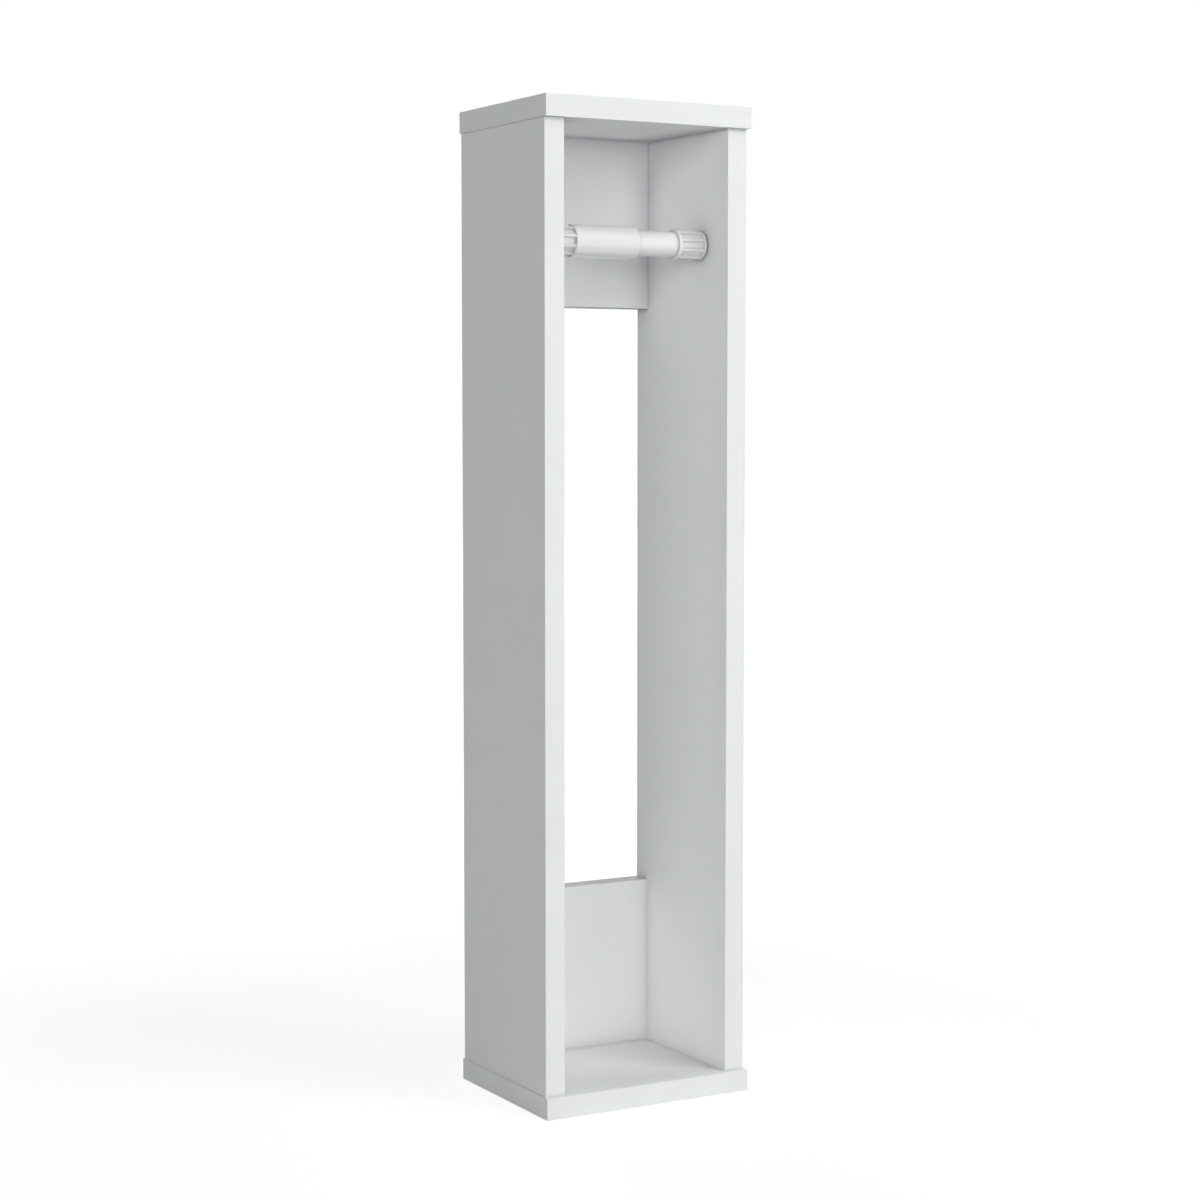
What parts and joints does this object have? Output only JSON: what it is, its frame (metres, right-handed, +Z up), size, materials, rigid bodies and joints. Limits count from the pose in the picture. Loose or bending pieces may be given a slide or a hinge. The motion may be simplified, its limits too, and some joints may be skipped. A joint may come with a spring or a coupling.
{
  "type": "toilet paper storage stand",
  "caption": "Narrow open-front bathroom column of white board with back rails at top and foot and a spring-loaded roller for a paper roll under its top.",
  "frame": {"origin": "middle of the base's underside, on the floor", "axes": "+X to the right seen from the front, the open front at -Y, +Z up"},
  "size_m": [0.1624, 0.1284, 0.695],
  "materials": {
    "melamine_board": "white melamine-faced particle board, satin with a fine pearl texture",
    "edge_band": "white plastic edge band, satin",
    "dowel_wood": "raw beech",
    "cam_zinc": "bright die-cast zinc alloy",
    "fastener_steel": "zinc-plated steel",
    "roller_plastic": "white moulded plastic, semi-gloss",
    "spring_steel": "bare spring wire"
  },
  "bodies": {
    "cabinet": {"top_panel": "melamine_board", "base_panel": "melamine_board", "left_side_panel": "melamine_board", "right_side_panel": "melamine_board", "upper_back_rail": "melamine_board", "lower_back_rail": "melamine_board", "top_edge_bands": "edge_band", "base_edge_bands": "edge_band", "left_side_edge_bands": "edge_band", "right_side_edge_bands": "edge_band", "upper_rail_edge_band": "edge_band", "lower_rail_edge_band": "edge_band", "top_dowels": "dowel_wood", "base_dowels": "dowel_wood", "upper_rail_dowels": "dowel_wood", "lower_rail_dowels": "dowel_wood", "upper_rail_cams": "cam_zinc", "lower_rail_cams": "cam_zinc", "upper_rail_cam_bolts": "fastener_steel", "lower_rail_cam_bolts": "fastener_steel", "base_screws": "fastener_steel"},
    "barrel": {"roller_barrel": "roller_plastic", "roller_spring": "spring_steel"},
    "plunger": {"roller_plunger": "roller_plastic"}
  },
  "joints": [
    {"name": "roller_spin", "type": "hinge", "parent": "cabinet", "child": "barrel", "pos_m": [0, -0.02435, 0.601], "axis": [1, 0, 0], "continuous": true},
    {"name": "plunger_slide", "type": "slide", "parent": "barrel", "child": "plunger", "axis": [-1, 0, 0], "range_m": [0, 0.0265], "stiffness_N_per_m": 300, "springref_m": -0.015, "deforming": ["roller_spring"]}
  ]
}
